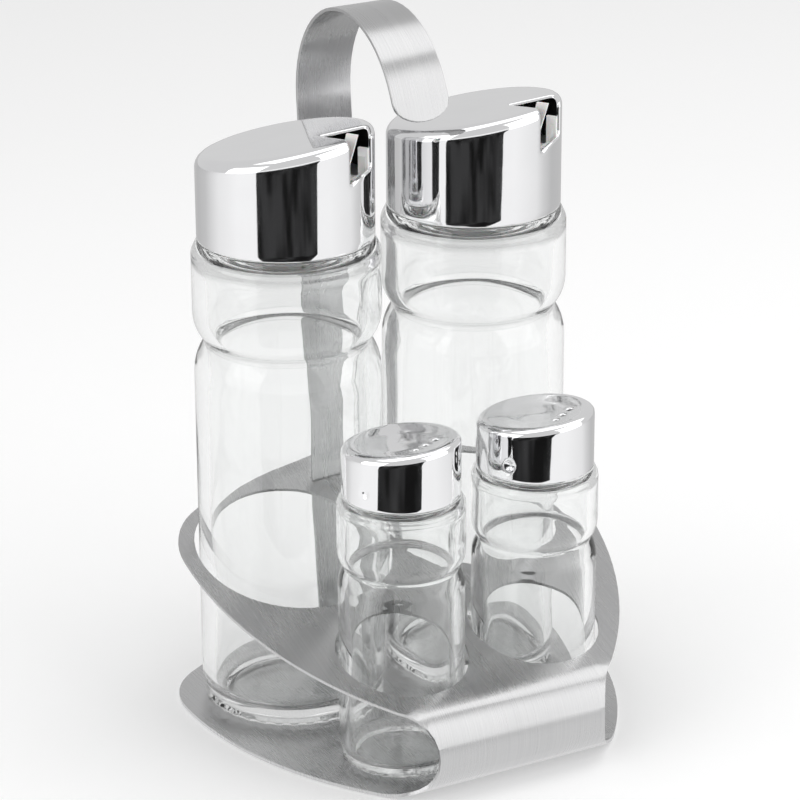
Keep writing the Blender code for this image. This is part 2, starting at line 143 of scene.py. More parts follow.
def finished_sheet(name, node, look):
    """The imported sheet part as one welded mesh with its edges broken."""
    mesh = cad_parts[node].data.copy()
    mesh.name = name
    work = bmesh.new()
    work.from_mesh(mesh)
    bmesh.ops.remove_doubles(work, verts=work.verts[:], dist=1e-6)
    work.to_mesh(mesh)
    work.free()
    mesh.normals_split_custom_set([(0.0, 0.0, 0.0)] * len(mesh.loops))
    mesh.materials.clear()
    mesh.materials.append(look)
    piece = bpy.data.objects.new(name, mesh)
    bpy.context.scene.collection.objects.link(piece)
    mesh.polygons.foreach_set("use_smooth", [True] * len(mesh.polygons))
    mesh.set_sharp_from_angle(angle=math.radians(35))
    edges = piece.modifiers.new("Broken edges", "BEVEL")
    edges.width = EDGE_BREAK
    edges.segments = 2
    edges.limit_method = "ANGLE"
    edges.angle_limit = math.radians(50)
    evened = piece.modifiers.new("Even faces", "WEIGHTED_NORMAL")
    evened.keep_sharp = False
    return piece


STEEL = brushed_steel()
stand = finished_sheet("stand", "stand_sheet", STEEL)
ride_as(stand, "stand", "stand", "stand_sheet")


# Handle. A strip of the same steel, bent round at the top into an open hook for the hand. Its leg passes
# through the slot in the upper plate and is spot-welded to the base; its free end is cut round.
handle = finished_sheet("handle", "handle_strip", STEEL)
ride_as(handle, "stand", "handle", "handle_strip")


# Bottles for oil and vinegar. Clear pressed glass with a thick base, a waist under the upper bulge and a
# screw neck. The inside is left by the blow, so it is a little uneven, and the heel has fine grip ribs.
GLASS_STEPS = 144
BOTTLE_WALL = 0.0044
BOTTLE_WAIST_DEPTH = 0.0039
BOTTLE_WAIST_DROP = 0.0341
NECK_WALL = 0.0024
CAP_RIM_GAP = 0.0005
GLASS_SWELL = 0.0002
RIPPLE = 0.00009
RIB_COUNT = 110
RIB_DEPTH = 0.0005
RIB_TOP = 0.0022
THREAD_PITCH = 0.003
THREAD_HEIGHT = 0.0008


def rounded(corners, closed=False, turn_step=9.0, longest=0.0022):
    """Corners (x, y, radius) joined by straight runs and arcs, as points no further apart than longest."""
    line = []
    count = len(corners)
    for i, (x, y, radius) in enumerate(corners):
        here = Vector((x, y))
        if radius <= 0 or (not closed and i in (0, count - 1)):
            line.append(here)
            continue
        before = (Vector(corners[i - 1][:2]) - here).normalized()
        after = (Vector(corners[(i + 1) % count][:2]) - here).normalized()
        half = before.angle(after) / 2
        centre = here + (before + after).normalized() * radius / math.sin(half)
        start = here + before * radius / math.tan(half) - centre
        turn = start.angle_signed(here + after * radius / math.tan(half) - centre)
        steps = max(math.ceil(abs(turn) / math.radians(turn_step)), 2)
        line += [centre + Matrix.Rotation(-turn * k / steps, 2) @ start for k in range(steps + 1)]
    ends = line[1:] + line[:1] if closed else line[1:]
    points = []
    for a, b in zip(line, ends):
        steps = max(math.ceil((b - a).length / longest), 1)
        points += [a.lerp(b, k / steps) for k in range(steps) if (b - a).length > 1e-7]
    return points if closed else points + [line[-1]]


def turned(name, profile, steps, centre, look, shape=None):
    """A closed profile of (radius, height) turned about an upright axis. shape can move the points after."""
    radii = np.array([p[0] for p in profile])
    heights = np.array([p[1] for p in profile])
    angles = np.arange(steps) * 2 * math.pi / steps
    radius = np.repeat(radii[:, None], steps, axis=1)
    height = np.repeat(heights[:, None], steps, axis=1)
    if shape:
        radius, height = shape(radius, height, np.repeat(angles[None, :], len(radii), axis=0))
    points = np.stack([radius * np.cos(angles), radius * np.sin(angles), height], axis=-1)
    points = points.reshape(-1, 3) + np.array(centre)
    rows = len(radii)
    ring = radii[0] > 1e-9
    faces = []
    for i in range(rows if ring else rows - 1):
        j = (i + 1) % rows
        for k in range(steps):
            m = (k + 1) % steps
            faces.append((i * steps + k, j * steps + k, j * steps + m, i * steps + m))
    mesh = bpy.data.meshes.new(name)
    mesh.from_pydata(points.tolist(), [], faces)
    work = bmesh.new()
    work.from_mesh(mesh)
    bmesh.ops.remove_doubles(work, verts=work.verts[:], dist=2e-7)
    bmesh.ops.recalc_face_normals(work, faces=work.faces[:])
    work.to_mesh(mesh)
    work.free()
    mesh.polygons.foreach_set("use_smooth", [True] * len(mesh.polygons))
    mesh.set_sharp_from_angle(angle=math.radians(40))
    mesh.materials.append(look)
    piece = bpy.data.objects.new(name, mesh)
    bpy.context.scene.collection.objects.link(piece)
    return piece


def clear_glass():
    """Soda-lime glass, faintly rippled by the mould."""
    made, tree, shader = new_material("clear_pressed_glass")
    shader.inputs["Base Color"].default_value = (0.955, 0.96, 0.958, 1.0)
    shader.inputs["Transmission Weight"].default_value = 1.0
    shader.inputs["IOR"].default_value = 1.5
    smear = noise(tree, 60.0, 3.0)
    tree.links.new(ranged(tree, smear, 0.0, 0.012), shader.inputs["Roughness"])
    ripple = noise(tree, 90.0, 1.0, (1.0, 1.0, 0.55))
    bump(tree, shader, ripple, 0.0004, 0.12)
    return made


def glass_profile(radius, wall, shoulder, neck, neck_top, waist, waist_drop, scale):
    """Corners with radii, up the inside from the middle of the floor, over the lip and down the outside."""
    waist_z = shoulder - waist_drop
    over = 0.0048 * scale
    under = 0.0057 * scale
    return [
        (0, 0.0050 * scale, 0),
        (radius * 0.5, 0.0044 * scale, 0.02),
        (radius - wall, 0.0054 * scale, 0.0040 * scale),
        (radius - wall, waist_z - under, 0.014 * scale),
        (waist - wall, waist_z, 0.004 * scale),
        (radius - wall, waist_z + over, 0.010 * scale),
        (radius - wall, shoulder - 0.0035 * scale - wall / 2, 0.005 * scale),
        (neck - NECK_WALL, shoulder - wall, 0.0015 * scale),
        (neck - NECK_WALL, neck_top, 0.0006),
        (neck, neck_top, 0.0006),
        (neck, shoulder, 0.0006),
        (radius - 0.0022 * scale, shoulder, 0.0012 * scale),
        (radius + GLASS_SWELL, shoulder - 0.0050 * scale, 0.0035 * scale),
        (radius + GLASS_SWELL, waist_z + over, 0.0125 * scale),
        (waist, waist_z, 0.0018 * scale),
        (radius, waist_z - under, 0.0165 * scale),
        (radius, 0.0085 * scale, 0.006),
        (radius - 0.0006, 0.0055 * scale, 0.006),
        (radius - 0.0009, 0.0006, 0.0020 * scale),
        (radius - 0.0042 * scale, 0, 0.0012),
        (radius - 0.0070 * scale, 0, 0.001),
        (radius - 0.0100 * scale, 0.0010 * scale, 0.002),
        (0, 0.0016 * scale, 0),
    ]


def blown_shape(neck, shoulder):
    """Uneven inner wall, thread on the neck and ribs round the heel."""

    def shape(radius, height, angle):
        widest = radius.max()
        inside = np.zeros_like(radius, bool)
        inside[: int(np.argmax(height[:, 0]))] = True
        inner = (radius < neck - 0.3 * NECK_WALL) | ((height > 0.009) & (height < shoulder - 0.004))
        walls = inside & inner & (radius > widest * 0.6)
        ripple = np.sin(3 * angle + 55 * height + 1.1) + 0.7 * np.sin(5 * angle - 90 * height)
        ripple += 0.5 * np.sin(2 * angle + 140 * height)
        radius = np.where(walls, radius + RIPPLE * ripple, radius)
        on_neck = ~inside & (np.abs(radius - neck) < 0.0004) & (height > shoulder + 0.001)
        lead = (height - shoulder - 0.0035) / THREAD_PITCH - angle / (2 * math.pi)
        crest = np.clip(np.cos(2 * math.pi * lead) * 1.6 - 0.6, 0, 1)
        over_shoulder = np.clip((height - shoulder - 0.0022) / 0.001, 0, 1)
        under_lip = np.clip((height.max() - height - 0.0015) / 0.001, 0, 1)
        thread = crest * over_shoulder * under_lip
        radius = np.where(on_neck, radius - THREAD_HEIGHT * (1 - thread), radius)
        heel = ~inside & (height < RIB_TOP) & (radius > widest * 0.80)
        ribs = (1 - np.cos(RIB_COUNT * angle)) / 2 * np.clip((RIB_TOP - height) / 0.0008, 0, 1)
        radius = np.where(heel, radius - RIB_DEPTH * ribs, radius)
        return radius, height

    return shape


GLASS = clear_glass()
BOTTLES = ("bottle_left", "bottle_right")


def middle(node):
    low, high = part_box(node)
    return (low.x + high.x) / 2, (low.y + high.y) / 2


def make_glass(name, wall, waist_depth, waist_drop, scale):
    low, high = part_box(f"{name}_glass")
    seal_low, seal_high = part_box(f"{name}_seal")
    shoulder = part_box(f"{name}_cap_shell")[0].z - CAP_RIM_GAP - low.z
    radius = (high.x - low.x) / 2 - GLASS_SWELL
    neck = (seal_high.x - seal_low.x) / 2
    neck_top = high.z - low.z
    waist = radius - waist_depth
    corners = glass_profile(radius, wall, shoulder, neck, neck_top, waist, waist_drop, scale)
    fine = [tuple(p) for p in rounded(corners, longest=0.0016)]
    profile = []
    for a, b in zip(fine, fine[1:] + fine[-1:]):
        on_neck = abs(a[0] - neck) < 1e-5 and abs(b[0] - neck) < 1e-5
        steps = max(1, math.ceil(abs(a[1] - b[1]) / 0.0003)) if on_neck else 1
        for k in range(steps):
            profile.append((a[0] + (b[0] - a[0]) * k / steps, a[1] + (b[1] - a[1]) * k / steps))
    x, y = middle(f"{name}_glass")
    shape = blown_shape(neck, shoulder)
    piece = turned(f"{name}_body", profile, GLASS_STEPS, (x, y, low.z), GLASS, shape)
    ride_as(piece, name, "glass", f"{name}_glass")


for name in BOTTLES:
    make_glass(name, BOTTLE_WALL, BOTTLE_WAIST_DEPTH, BOTTLE_WAIST_DROP, 1.0)


# Gaskets. Soft pale rings that seal each cap on its glass lip. They are turned from a rounded outline and
# sit loose between neck and cap, with no glue.
BOTTLE_SEAL_WIDTH = 0.004


def seal_rubber():
    made, tree, shader = new_material("silicone_seal")
    speck = noise(tree, 900.0, 2.0)
    tinted(tree, shader, speck, (0.62, 0.62, 0.60), (0.74, 0.74, 0.72))
    tree.links.new(ranged(tree, speck, 0.5, 0.7), shader.inputs["Roughness"])
    bump(tree, shader, speck, 0.00002)
    return made


SEAL = seal_rubber()


def make_seal(name, width):
    low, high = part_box(f"{name}_seal")
    outer = (high.x - low.x) / 2
    x, y = middle(f"{name}_seal")
    tall = high.z - low.z
    soft = tall * 0.3
    corners = [
        (outer, tall, soft),
        (outer, 0, soft),
        (outer - width, 0, soft),
        (outer - width, tall, soft),
    ]
    line = rounded(corners, closed=True, longest=0.004)
    piece = turned(f"{name}_gasket", line, 64, (x, y, low.z), SEAL)
    ride_as(piece, f"{name}_thread", "seal", f"{name}_seal")


for name in BOTTLES:
    make_seal(name, BOTTLE_SEAL_WIDTH)


# Bottle caps. Deep-drawn steel shells, polished and chromed, with a slanting flat top. The pouring notch
# starts in a point on the top and runs down the high side; its edge is drawn inwards all the way round.
CAP_SHEET = 0.0006
POUR_TURN = math.radians(-56)
BOTTLE_CAP_SLOPE = math.tan(math.radians(11.3))
NOTCH_LIP = 0.0011
NOTCH_TIP = 0.0116
NOTCH_TIP_SHIFT = 0.0015
NOTCH_LEFT = 0.0068
NOTCH_RIGHT = 0.0066
NOTCH_LEFT_DEPTH = 0.0104
NOTCH_RIGHT_DEPTH = 0.0086
FOLD_SHARE = 0.93


def polished_chrome():
    """Bright chrome over a drawn shell: almost a mirror, with faint waviness and wiping haze."""
    made, tree, shader = new_material("polished_chrome")
    haze = noise(tree, 70.0, 4.0)
    tinted(tree, shader, haze, (0.84, 0.84, 0.85), (0.90, 0.90, 0.91))
    tree.links.new(ranged(tree, haze, 0.035, 0.075), shader.inputs["Roughness"])
    bump(tree, shader, noise(tree, 120.0, 1.0), 0.0004, 0.05)
    shader.inputs["Metallic"].default_value = 1.0
    return made


def inside_painted_shade():
    """The unpolished inside of a drawn shell, coloured near-black as painted shade for the deep hollow."""
    made, tree, shader = new_material("drawn_steel_painted_shade")
    mottle = noise(tree, 300.0, 3.0)
    # Painted shade: the inside colour is kept near-black, mottled a little, so the hollow under the lid
    # looks dark.
    tinted(tree, shader, mottle, (0.05, 0.05, 0.052), (0.085, 0.085, 0.087))
    tree.links.new(ranged(tree, mottle, 0.45, 0.6), shader.inputs["Roughness"])
    bump(tree, shader, mottle, 0.00002)
    shader.inputs["Metallic"].default_value = 0.3
    return made


CHROME = polished_chrome()
INSIDE_PAINTED_SHADE = inside_painted_shade()


class Blank:
    """A cap's outer surface: way over the top from its middle, and angle from its high side."""

    def __init__(self, corners):
        line = rounded(corners, turn_step=8.0, longest=0.0016)
        self.radius = np.array([p[0] for p in line])
        self.height = np.array([p[1] for p in line])
        steps = np.hypot(np.diff(self.radius), np.diff(self.height))
        self.way = np.concatenate([[0], np.cumsum(steps)])
        last = len(line) - 1
        fold = self.radius.max() * FOLD_SHARE
        self.edge = float(np.interp(fold, self.radius[:last], self.way[:last]))

    def place(self, angle, way):
        radius = float(np.interp(way, self.way, self.radius))
        height = float(np.interp(way, self.way, self.height))
        return radius * math.cos(angle), radius * math.sin(angle), height

    def inward(self, angle, way):
        ahead = min(way + 1e-4, self.way[-1])
        behind = max(way - 1e-4, 0)
        dr = float(np.interp(ahead, self.way, self.radius) - np.interp(behind, self.way, self.radius))
        dz = float(np.interp(ahead, self.way, self.height) - np.interp(behind, self.way, self.height))
        size = math.hypot(dr, dz)
        return Vector((dz / size * math.cos(angle), dz / size * math.sin(angle), -dr / size))

    def flat(self, angle, way):
        """Where a point near the high side lies when the cap's side is folded up level with its top."""
        over = min(way, self.edge)
        radius = float(np.interp(way, self.way, self.radius))
        return over * math.cos(angle) + max(0.0, way - self.edge), radius * math.sin(angle)

    def folded(self, out, across):
        way = math.hypot(out, across)
        if way <= self.edge:
            return math.atan2(across, out), way
        angle = 0.0
        for _ in range(8):
            radius = float(np.interp(way, self.way, self.radius))
            angle = math.asin(max(-1, min(1, across / radius)))
            way = self.edge + out - self.edge * math.cos(angle)
        return angle, way


def loop_distance(point, loop):
    """Distance from a point to a closed loop, below zero inside it."""
    a = loop
    b = np.roll(loop, -1, axis=0)
    d = b - a
    t = np.clip(((point - a) * d).sum(1) / (d * d).sum(1), 0, 1)
    near = np.hypot(*(a + d * t[:, None] - point).T).min()
    crossing = (a[:, 1] > point[1]) != (b[:, 1] > point[1])
    at = a[:, 0] + (point[1] - a[:, 1]) / np.where(d[:, 1] == 0, 1, d[:, 1]) * d[:, 0]
    return -near if (crossing & (at > point[0])).sum() % 2 else near


def grown(loop, distance):
    ahead = np.roll(loop, -1, axis=0) - np.roll(loop, 1, axis=0)
    ahead /= np.hypot(*ahead.T)[:, None]
    return loop + np.stack([ahead[:, 1], -ahead[:, 0]], axis=1) * distance


def pressed_cap(name, corners, openings, lip, slope, turn, centre, dimple=None, spacing=0.0011):
    """A drawn shell. Each opening is an anticlockwise loop in the flattened top, with its edge drawn in."""
    blank = Blank(corners)
    points = [(0.0, 0.0)]
    edges = []
    rings = max(4, round(blank.way[-1] / spacing))
    for i in range(1, rings + 1):
        way = blank.way[-1] * i / rings
        radius = float(np.interp(way, blank.way, blank.radius))
        count = 6 * max(3, round(2 * math.pi * radius / spacing / 6))
        for k in range(count):
            angle = 2 * math.pi * (k + 0.5 * (i % 2)) / count
            if i < rings and abs((angle + math.pi) % (2 * math.pi) - math.pi) < 1.4:
                here = np.array(blank.flat((angle + math.pi) % (2 * math.pi) - math.pi, way))
                if any(loop_distance(here, loop) < lip + spacing * 0.45 for loop in openings):
                    continue
            if i == rings:
                edges.append((len(points), len(points) + 1 if k < count - 1 else len(points) - count + 1))
            points.append((way * math.cos(angle), way * math.sin(angle)))
    for loop in openings:
        for step in range(6):
            reach = lip * (1 - math.sin(math.radians(90 - 18 * step)))
            first = len(points)
            for out, across in grown(loop, reach):
                angle, way = blank.folded(out, across)
                points.append((way * math.cos(angle), way * math.sin(angle)))
            if step == 0:
                count = len(loop)
                edges += [(first + k, first + (k + 1) % count) for k in range(count)]
    flat = delaunay_2d_cdt([Vector(p) for p in points], edges, [], 0, 1e-7)
    where = []
    placed = []
    for p in flat[0]:
        way = p.length
        angle = math.atan2(p.y, p.x)
        here = np.array(blank.flat(angle, way)) if abs(angle) < 1.45 else np.array((-1.0, 0.0))
        away = min([loop_distance(here, loop) for loop in openings] + [1.0])
        where.append(away)
        at = Vector(blank.place(angle, way))
        if away < lip:
            part = 1 - max(away, 0) / lip
            at += blank.inward(angle, way) * lip * (1 - math.sqrt(max(0.0, 1 - part * part)))
        if dimple:
            toward, level, reach, deep = dimple
            apart = math.hypot((angle - toward) * blank.radius.max(), at.z - level)
            if apart < reach and at.z < blank.height.max() - 0.004:
                at += blank.inward(angle, way) * deep * (0.5 + 0.5 * math.cos(math.pi * apart / reach))
        placed.append(at)
    rim = blank.height.min()
    spin = Matrix.Rotation(turn, 3, "Z")
    shaped = []
    for at in placed:
        rise = slope * at.x * min(1.0, max(0.0, (at.z - rim) / 0.006))
        shaped.append(spin @ Vector((at.x, at.y, at.z + rise)) + Vector(centre))
    kept = []
    for face in flat[2]:
        a, b, c = (flat[0][i] for i in face[:3])
        centre_2d = (a + b + c) / 3
        angle = math.atan2(centre_2d.y, centre_2d.x)
        inside = False
        if abs(angle) < 1.45:
            here = np.array(blank.flat(angle, centre_2d.length))
            inside = any(loop_distance(here, loop) < -1e-6 for loop in openings)
        if not inside:
            kept.append(tuple(face))
    mesh = bpy.data.meshes.new(name)
    mesh.from_pydata([tuple(p) for p in shaped], [], kept)
    work = bmesh.new()
    work.from_mesh(mesh)
    bmesh.ops.delete(work, geom=[v for v in work.verts if not v.link_faces], context="VERTS")
    work.to_mesh(mesh)
    work.free()
    mesh.polygons.foreach_set("use_smooth", [True] * len(mesh.polygons))
    mesh.materials.append(CHROME)
    mesh.materials.append(INSIDE_PAINTED_SHADE)
    piece = bpy.data.objects.new(name, mesh)
    bpy.context.scene.collection.objects.link(piece)
    wall = piece.modifiers.new("Sheet", "SOLIDIFY")
    wall.thickness = CAP_SHEET
    wall.offset = -1
    wall.use_even_offset = True
    wall.thickness_clamp = 1.0
    # The inside faces take the second material, the near-black painted shade.
    wall.material_offset = 1
    edge = piece.modifiers.new("Soft edge", "BEVEL")
    edge.width = 0.00012
    edge.segments = 2
    edge.limit_method = "ANGLE"
    edge.angle_limit = math.radians(55)
    return piece


def bottle_cap(name):
    low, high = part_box(f"{name}_cap_shell")
    radius = (high.x - low.x) / 2
    x, y = middle(f"{name}_cap_shell")
    flat_high = radius - 0.0035
    tall = high.z - low.z - BOTTLE_CAP_SLOPE * flat_high - 0.0004
    corners = [(0, tall, 0), (radius, tall, 0.0034), (radius, 0, 0)]
    over = radius - 0.0034 + 0.0034 * math.pi / 2
    notch = rounded(
        [
            (NOTCH_TIP, NOTCH_TIP_SHIFT, 0.0005),
            (0.0236, -0.0046, 0.0012),
            (0.0275, -NOTCH_LEFT, 0.0030),
            (over + NOTCH_LEFT_DEPTH, -NOTCH_LEFT, 0.0010),
            (over + NOTCH_RIGHT_DEPTH, NOTCH_RIGHT, 0.0020),
            (over - 0.0020, NOTCH_RIGHT, 0.0030),
            (0.0232, 0.0112, 0.0020),
        ],
        closed=True,
        turn_step=14.0,
        longest=0.0009,
    )
    loop = np.array([tuple(p) for p in notch])
    piece = pressed_cap(
        f"{name}_cap", corners, [loop], NOTCH_LIP, BOTTLE_CAP_SLOPE, POUR_TURN, (x, y, low.z)
    )
    ride_as(piece, f"{name}_cap", "cap", f"{name}_cap_shell")


for name in BOTTLES:
    bottle_cap(name)


# Pourers. White moulded plastic, pressed up into each bottle cap: a threaded collar, a deck across the
# cap and a spout channel with raised sides behind the notch.
def moulded_plastic():
    made, tree, shader = new_material("white_moulded_plastic")
    cloud = noise(tree, 220.0, 3.0)
    tinted(tree, shader, cloud, (0.80, 0.80, 0.79), (0.87, 0.87, 0.86))
    tree.links.new(ranged(tree, cloud, 0.32, 0.45), shader.inputs["Roughness"])
    bump(tree, shader, noise(tree, 2600.0, 2.0), 0.00001)
    shader.inputs["Subsurface Weight"].default_value = 0.15
    shader.inputs["Subsurface Scale"].default_value = 0.001
    return made


PLASTIC = moulded_plastic()
SPOUT_HALF = 0.0061
SPOUT_WALL = 0.0012
SPOUT_DEPTH = 0.0158


def prism(outline, bottom, top):
    """A closed bmesh over an anticlockwise outline."""
    made = bmesh.new()
    low = [made.verts.new((x, y, bottom)) for x, y in outline]
    high = [made.verts.new((x, y, top)) for x, y in outline]
    made.faces.new(list(reversed(low)))
    made.faces.new(high)
    count = len(outline)
    for i in range(count):
        j = (i + 1) % count
        made.faces.new((low[i], low[j], high[j], high[i]))
    return made


def slab(near, far, left, right, bottom, top):
    return prism([(near, left), (far, left), (far, right), (near, right)], bottom, top)


def joined(piece, shape, turn, centre, operation="UNION"):
    """Adds or cuts a bmesh shape, swung to face turn, with an exact boolean."""
    mesh = bpy.data.meshes.new("tool")
    shape.to_mesh(mesh)
    shape.free()
    mesh.transform(Matrix.Translation(centre) @ Matrix.Rotation(turn, 4, "Z"))
    tool = bpy.data.objects.new("tool", mesh)
    bpy.context.scene.collection.objects.link(tool)
    change = piece.modifiers.new("Change", "BOOLEAN")
    change.operation = operation
    change.solver = "EXACT"
    change.object = tool
    bpy.context.view_layer.update()
    graph = bpy.context.evaluated_depsgraph_get()
    piece.data = bpy.data.meshes.new_from_object(piece.evaluated_get(graph))
    piece.modifiers.clear()
    bpy.data.objects.remove(tool)


def softened(piece, width):
    piece.data.polygons.foreach_set("use_smooth", [True] * len(piece.data.polygons))
    edge = piece.modifiers.new("Moulded edge", "BEVEL")
    edge.width = width
    edge.segments = 2
    edge.limit_method = "ANGLE"
    edge.angle_limit = math.radians(40)
    evened = piece.modifiers.new("Even faces", "WEIGHTED_NORMAL")
    evened.keep_sharp = False


def make_pourer(name):
    low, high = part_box(f"{name}_pourer")
    x, y = middle(f"{name}_pourer")
    deck_r = (high.x - low.x) / 2
    seal_low, seal_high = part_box(f"{name}_seal")
    bore = (seal_high.x - seal_low.x) / 2 + 0.0004
    deck = seal_high.z + 0.0003 - low.z
    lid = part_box(f"{name}_cap_shell")[1].z - low.z
    line = [
        (0, deck + 0.002, 0),
        (deck_r, deck + 0.002, 0),
        (deck_r, deck, 0),
        (bore + 0.0022, deck, 0),
        (bore + 0.0022, 0, 0),
        (bore, 0, 0),
        (bore, deck, 0),
        (0, deck, 0),
    ]
    centre = (x, y, low.z)
    piece = turned(f"{name}_spout", rounded(line, longest=0.05), 64, centre, PLASTIC)
    tall = high.z - low.z
    half = SPOUT_HALF
    inner = half - SPOUT_WALL
    end = deck_r - SPOUT_WALL
    floor = lid - SPOUT_DEPTH
    root = floor - 0.001
    block = slab(0.006, end, -half, half, deck + 0.001, tall)
    joined(piece, block, POUR_TURN, centre)
    channel = slab(0.0185, 0.04, -inner, inner, floor, tall + 0.01)
    joined(piece, channel, POUR_TURN, centre, "DIFFERENCE")
    side_cut = slab(0.0185, 0.0232, 0, 0.02, floor, tall + 0.01)
    joined(piece, side_cut, POUR_TURN, centre, "DIFFERENCE")
    wall = slab(0.0232, 0.0266, inner, half, root, lid - 0.0062)
    joined(piece, wall, POUR_TURN, centre)
    fin_side = [(0.0195, root), (0.0222, root), (0.0273, lid + 0.0004), (0.0234, lid + 0.0004)]
    fin = prism(fin_side, 0.0021, 0.0029)
    upright = Matrix.Rotation(math.radians(90), 3, "X")
    bmesh.ops.rotate(fin, verts=fin.verts[:], cent=(0, 0, 0), matrix=upright)
    joined(piece, fin, POUR_TURN, centre)
    lip = slab(0.0238, 0.0258, -0.0022, inner, root, floor + 0.0012)
    joined(piece, lip, POUR_TURN, centre)
    drain = [(0.0105 + 0.0021 * math.cos(a), 0.0021 * math.sin(a)) for a in np.arange(20) * math.pi / 10]
    joined(piece, prism(drain, deck - 0.004, tall + 0.001), POUR_TURN, centre, "DIFFERENCE")
    softened(piece, 0.0002)
    ride_as(piece, f"{name}_cap", "plastic", f"{name}_pourer")


for name in BOTTLES:
    make_pourer(name)


# Shakers for salt and pepper. The same pressed glass at a smaller size, each with its gasket.
SHAKERS = ("shaker_left", "shaker_right")
SHAKER_WALL = 0.0032
SHAKER_WAIST_DEPTH = 0.0022
SHAKER_WAIST_DROP = 0.0243
SHAKER_SCALE = 0.62
SHAKER_SEAL_WIDTH = 0.0028
for name in SHAKERS:
    make_glass(name, SHAKER_WALL, SHAKER_WAIST_DEPTH, SHAKER_WAIST_DROP, SHAKER_SCALE)
    make_seal(name, SHAKER_SEAL_WIDTH)


# Shaker caps. Drawn and chromed like the bottle caps, but low, with a dished top, three drawn-in shaking
# holes near the high side and one pressed dimple that locks the plastic collar.
SHAKER_CAP_SLOPE = math.tan(math.radians(7))
SHAKE_TURN = {"shaker_left": math.radians(-65), "shaker_right": math.radians(-56)}
HOLE_LIP = 0.0007
HOLE_RADIUS = 0.0011
HOLE_REACH = 0.0096
HOLE_SPACING = 0.005
DISH = 0.0011


def shaker_cap(name):
    low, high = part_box(f"{name}_cap_shell")
    radius = (high.x - low.x) / 2
    x, y = middle(f"{name}_cap_shell")
    tall = high.z - low.z - SHAKER_CAP_SLOPE * (radius - 0.002) - 0.0002
    corners = [
        (0, tall - DISH, 0),
        (radius * 0.5, tall - DISH * 0.75, 0.02),
        (radius - 0.0019, tall + 0.0001, 0.0028),
        (radius, tall - 0.0014, 0.0016),
        (radius, 0, 0),
    ]
    loops = []
    for across in (-HOLE_SPACING, 0, HOLE_SPACING):
        turns = np.arange(16) * math.pi / 8
        out = HOLE_REACH + HOLE_RADIUS * np.cos(turns)
        loops.append(np.stack([out, across + HOLE_RADIUS * np.sin(turns)], axis=1))
    dimple = (math.radians(-90), 0.0052, 0.0022, 0.0008)
    piece = pressed_cap(
        f"{name}_cap",
        corners,
        loops,
        HOLE_LIP,
        SHAKER_CAP_SLOPE,
        SHAKE_TURN[name],
        (x, y, low.z),
        dimple,
        0.0009,
    )
    ride_as(piece, f"{name}_cap", "cap", f"{name}_cap_shell")


for name in SHAKERS:
    shaker_cap(name)


# Collars. Threaded white plastic rings pressed into the shaker caps, open in the middle for the salt.
def make_collar(name):
    low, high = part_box(f"{name}_collar")
    x, y = middle(f"{name}_collar")
    outer = (high.x - low.x) / 2
    seal_low, seal_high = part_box(f"{name}_seal")
    neck = (seal_high.x - seal_low.x) / 2
    tall = high.z - low.z
    corners = [
        (outer, tall, 0.0004),
        (outer, 0, 0.0004),
        (neck + 0.0004, 0, 0.0004),
        (neck + 0.0004, tall - 0.0012, 0.0002),
        (neck - 0.002, tall - 0.0012, 0.0003),
        (neck - 0.002, tall, 0.0003),
    ]
    line = rounded(corners, closed=True, longest=0.003)
    piece = turned(f"{name}_ring", line, 72, (x, y, low.z), PLASTIC)
    ride_as(piece, f"{name}_cap", "plastic", f"{name}_collar")


for name in SHAKERS:
    make_collar(name)


# Studio. A white table lit from within, a low dark card and a pale glowing disc that only polished parts
# see, which paint dark and pale reflections into them, three soft lights, and the camera a metre away, a
# little above the set and to its left.
TABLE_HALF = 6.0
TABLE_LEVEL = -0.0004
TABLE_GLOW = 0.1
PAINTED_DARK_CARD_OUTLINE = [(-0.20, -0.105), (-0.02, -0.19), (0.40, -1.44), (-0.90, -1.30), (-1.50, -0.72)]
PAINTED_REFLECTION_RADIUS = 5.0
PAINTED_REFLECTION_TURN = 118.88
# Glow of the painted pale reflection, by angle round the set.
PAINTED_REFLECTION_TONES = [
    (-180, 0.60),
    (-140, 0.52),
    (-115, 0.60),
    (-88, 0.90),
    (-60, 1.02),
    (57, 1.00),
    (90, 0.88),
    (103, 0.70),
    (120, 0.55),
    (150, 0.55),
]
WORLD_STRENGTH = 0.68
CAMERA_PLACE = (-0.48232, -0.90231, 0.50756)
CAMERA_LENS = 152.9
AIM_AZIMUTH = math.radians(-28.452)
AIM_ELEVATION = math.radians(-21.849)
ROLL = math.radians(-0.24)


def stage_plane(name, corners, level):
    """A flat stage piece with a plain material, and that material's tree and shader."""
    mesh = bpy.data.meshes.new(name)
    mesh.from_pydata([(x, y, level) for x, y in corners], [], [tuple(range(len(corners)))])
    made, tree, shader = new_material(name)
    mesh.materials.append(made)
    plane = bpy.data.objects.new(name, mesh)
    bpy.context.scene.collection.objects.link(plane)
    shader.inputs["Roughness"].default_value = 0.9
    shader.inputs["Specular IOR Level"].default_value = 0.0
    return plane, tree, shader


def seen_in_polish_only(plane):
    plane.visible_camera = False
    plane.visible_diffuse = False
    plane.visible_transmission = False
    plane.visible_volume_scatter = False
    plane.visible_shadow = False


square = [(x * TABLE_HALF, y * TABLE_HALF) for x, y in ((-1, -1), (1, -1), (1, 1), (-1, 1))]
table, tree, shader = stage_plane("white_table", square, TABLE_LEVEL)
clouding = noise(tree, 3.0)
tinted(tree, shader, clouding, (0.915, 0.915, 0.915), (0.93, 0.93, 0.93))
shader.inputs["Emission Color"].default_value = (1.0, 1.0, 1.0, 1.0)
shader.inputs["Emission Strength"].default_value = TABLE_GLOW
